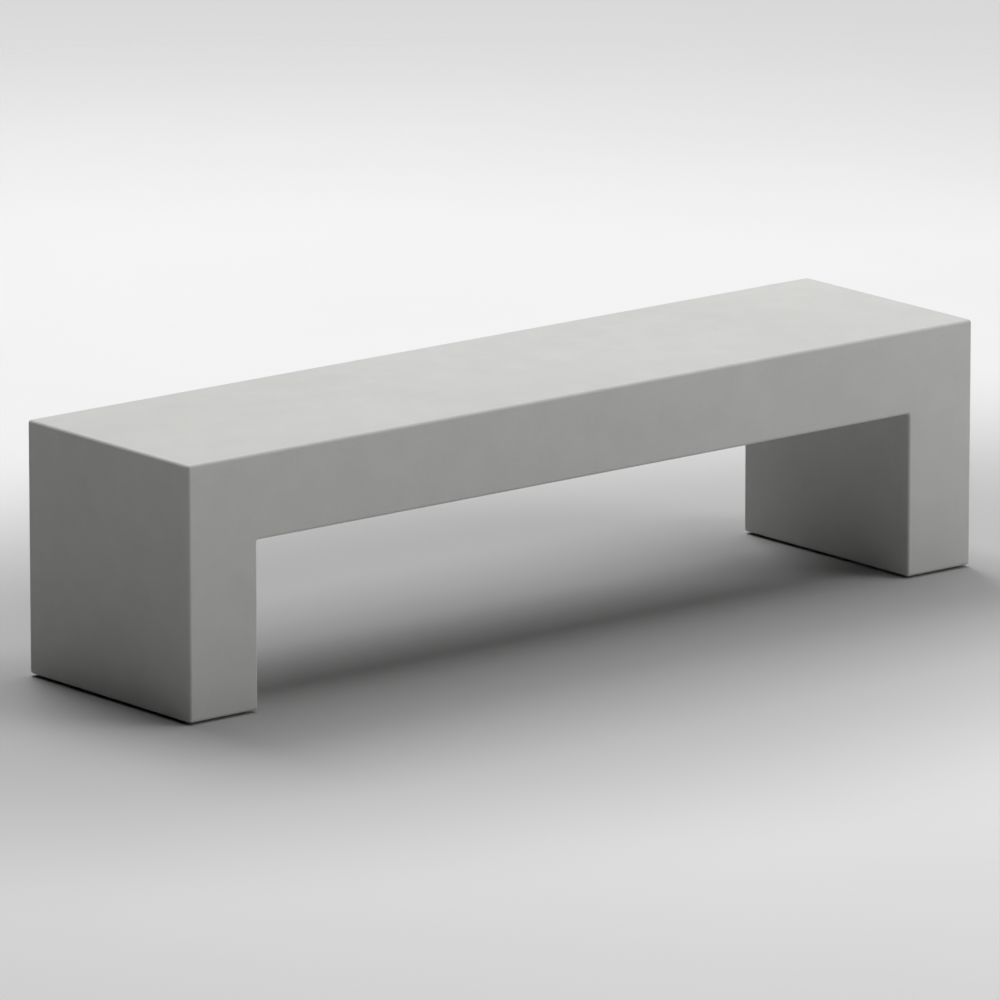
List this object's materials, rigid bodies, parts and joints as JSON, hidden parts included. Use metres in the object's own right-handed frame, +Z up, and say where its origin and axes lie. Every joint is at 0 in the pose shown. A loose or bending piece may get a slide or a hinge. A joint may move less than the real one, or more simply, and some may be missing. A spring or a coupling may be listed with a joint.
{
  "type": "backless bench",
  "caption": "Precast concrete bench with no back: a solid seat slab bent down into two full-depth legs, reinforced inside, on rubber pads, with plugged threaded sockets in its feet.",
  "frame": {"origin": "on the ground, under the middle of the bench: the middle of the bounding box's lower face, where the pads' undersides lie", "axes": "+X along the bench, +Y from its front to its back, +Z up"},
  "size_m": [1.8, 0.456, 0.461],
  "materials": {
    "concrete": "matte fair-faced precast concrete, smooth, with rounded arrises",
    "reinforcing_steel": "matte mill scale with a little rust, cast in",
    "zinc_plated_steel": "satin zinc plating on turned steel",
    "plug_plastic": "matte moulded plastic, dark grey",
    "pad_rubber": "matte moulded rubber, black"
  },
  "bodies": {
    "root": {"concrete_casting": "concrete", "portal_bar_front": "reinforcing_steel", "portal_bar_middle": "reinforcing_steel", "portal_bar_back": "reinforcing_steel", "seat_bar_front": "reinforcing_steel", "seat_bar_middle": "reinforcing_steel", "seat_bar_back": "reinforcing_steel", "left_leg_bar_front": "reinforcing_steel", "left_leg_bar_middle": "reinforcing_steel", "left_leg_bar_back": "reinforcing_steel", "right_leg_bar_front": "reinforcing_steel", "right_leg_bar_middle": "reinforcing_steel", "right_leg_bar_back": "reinforcing_steel", "seat_link_1": "reinforcing_steel", "seat_link_2": "reinforcing_steel", "seat_link_3": "reinforcing_steel", "seat_link_4": "reinforcing_steel", "seat_link_5": "reinforcing_steel", "seat_link_6": "reinforcing_steel", "seat_link_7": "reinforcing_steel", "seat_link_8": "reinforcing_steel", "left_leg_link_1": "reinforcing_steel", "left_leg_link_2": "reinforcing_steel", "left_leg_link_3": "reinforcing_steel", "right_leg_link_1": "reinforcing_steel", "right_leg_link_2": "reinforcing_steel", "right_leg_link_3": "reinforcing_steel", "left_front_socket": "zinc_plated_steel", "left_back_socket": "zinc_plated_steel", "right_front_socket": "zinc_plated_steel", "right_back_socket": "zinc_plated_steel", "left_front_cross_pin": "zinc_plated_steel", "left_back_cross_pin": "zinc_plated_steel", "right_front_cross_pin": "zinc_plated_steel", "right_back_cross_pin": "zinc_plated_steel", "left_front_plug": "plug_plastic", "left_back_plug": "plug_plastic", "right_front_plug": "plug_plastic", "right_back_plug": "plug_plastic", "left_front_pad": "pad_rubber", "left_back_pad": "pad_rubber", "right_front_pad": "pad_rubber", "right_back_pad": "pad_rubber"}
  },
  "joints": []
}
